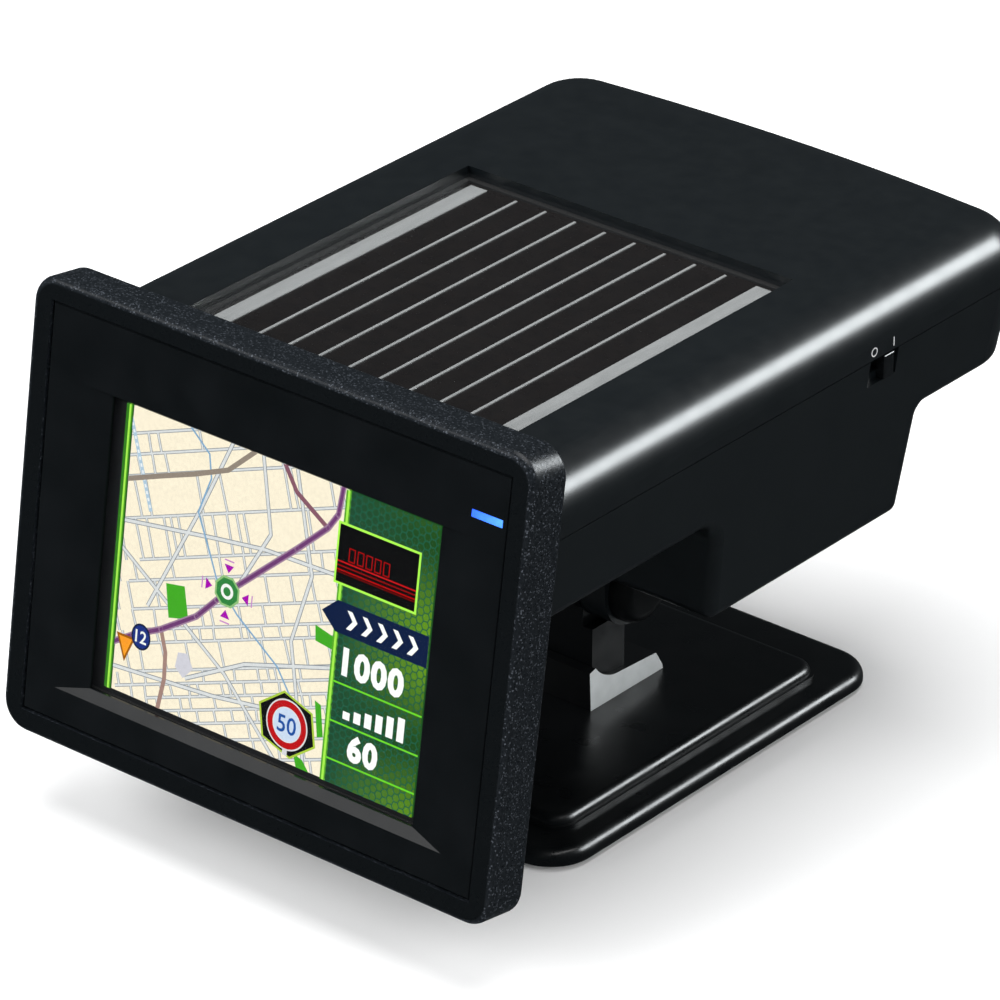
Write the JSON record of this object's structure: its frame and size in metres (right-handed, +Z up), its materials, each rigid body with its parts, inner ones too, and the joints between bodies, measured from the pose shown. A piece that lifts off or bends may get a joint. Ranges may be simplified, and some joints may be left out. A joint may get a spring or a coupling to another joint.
{
  "type": "radar detector",
  "caption": "Dashboard GPS radar receiver: leaning touch display on a long case with a solar top, side power switch, and a tilt and swivel stand on a flat base.",
  "frame": {"origin": "middle of the adhesive pad's underside, where the stand sticks to the dashboard", "axes": "+X to the right of a person facing the display, +Y to the rear along the case, +Z up"},
  "size_m": [0.1032, 0.1457, 0.092],
  "materials": {
    "textured_black": "fine grained black with a faint sparkle",
    "satin_black": "satin black moulding",
    "gloss_black": "piano black moulding",
    "clear_glass": "clear, smooth",
    "seal_rubber": "black foam seal",
    "screen_picture": "lit display",
    "bare_steel": "plain sheet steel",
    "circuit_board": "green solder mask",
    "light_bar": "lit blue light guide",
    "screw_steel": "dark plated steel",
    "solar_dark": "brown black thin film cell",
    "solar_silver": "printed silver conductor",
    "chip_black": "moulded black",
    "antenna_ceramic": "beige patch ceramic",
    "ribbon_film": "amber polyimide film",
    "cast_metal": "as cast",
    "cone_paper": "black cone",
    "magnet_grey": "plated magnet",
    "battery_wrap": "green shrink wrap",
    "foam_tape": "grey foam tape",
    "dark_bolt": "black domed cap"
  },
  "bodies": {
    "base": {"adhesive_pad": "foam_tape", "base_plate": "gloss_black"},
    "turret": {"pivot_washer": "bare_steel", "pivot_screw": "screw_steel", "stand_foot": "gloss_black", "stand_arm": "gloss_black", "foot_screws": "screw_steel"},
    "head": {"bezel_rim": "textured_black", "front_panel": "gloss_black", "touch_panel": "clear_glass", "screen_gasket": "seal_rubber", "lcd_panel": "screen_picture", "lcd_frame": "bare_steel", "display_board": "circuit_board", "status_led_lens": "light_bar", "status_led": "circuit_board", "display_back_cover": "satin_black", "display_screws": "screw_steel", "upper_case": "satin_black", "lower_case": "satin_black", "case_screws": "screw_steel", "solar_cover": "clear_glass", "solar_cell": "solar_dark", "solar_gasket": "seal_rubber", "solar_bus_bars": "solar_silver", "main_board": "circuit_board", "board_screws": "screw_steel", "shield_can": "bare_steel", "board_chips": "chip_black", "gps_shield": "bare_steel", "gps_antenna": "antenna_ceramic", "card_socket": "bare_steel", "ribbon_connector": "chip_black", "dc_jack": "chip_black", "display_ribbon": "ribbon_film", "power_switch_body": "bare_steel", "radar_horn": "cast_metal", "mixer_board": "circuit_board", "speaker_frame": "bare_steel", "speaker_cone": "cone_paper", "speaker_magnet": "magnet_grey", "battery_cells": "battery_wrap", "hinge_bracket": "satin_black", "bracket_screws": "screw_steel", "tilt_bolt": "dark_bolt", "tilt_nut": "screw_steel", "friction_washers": "bare_steel"},
    "power_knob": {"power_switch_knob": "gloss_black"}
  },
  "joints": [
    {"name": "stand_swivel", "type": "hinge", "parent": "base", "child": "turret", "pos_m": [0, 0.0028, 0.0055], "axis": [0, 0, 1], "range_deg": [-60, 60]},
    {"name": "head_tilt", "type": "hinge", "parent": "turret", "child": "head", "pos_m": [0, 0.0028, 0.028], "axis": [1, 0, 0], "range_deg": [-20, 8]},
    {"name": "power_switch", "type": "slide", "parent": "head", "child": "power_knob", "axis": [0, 1, 0], "range_m": [-0.0025, 0]}
  ]
}
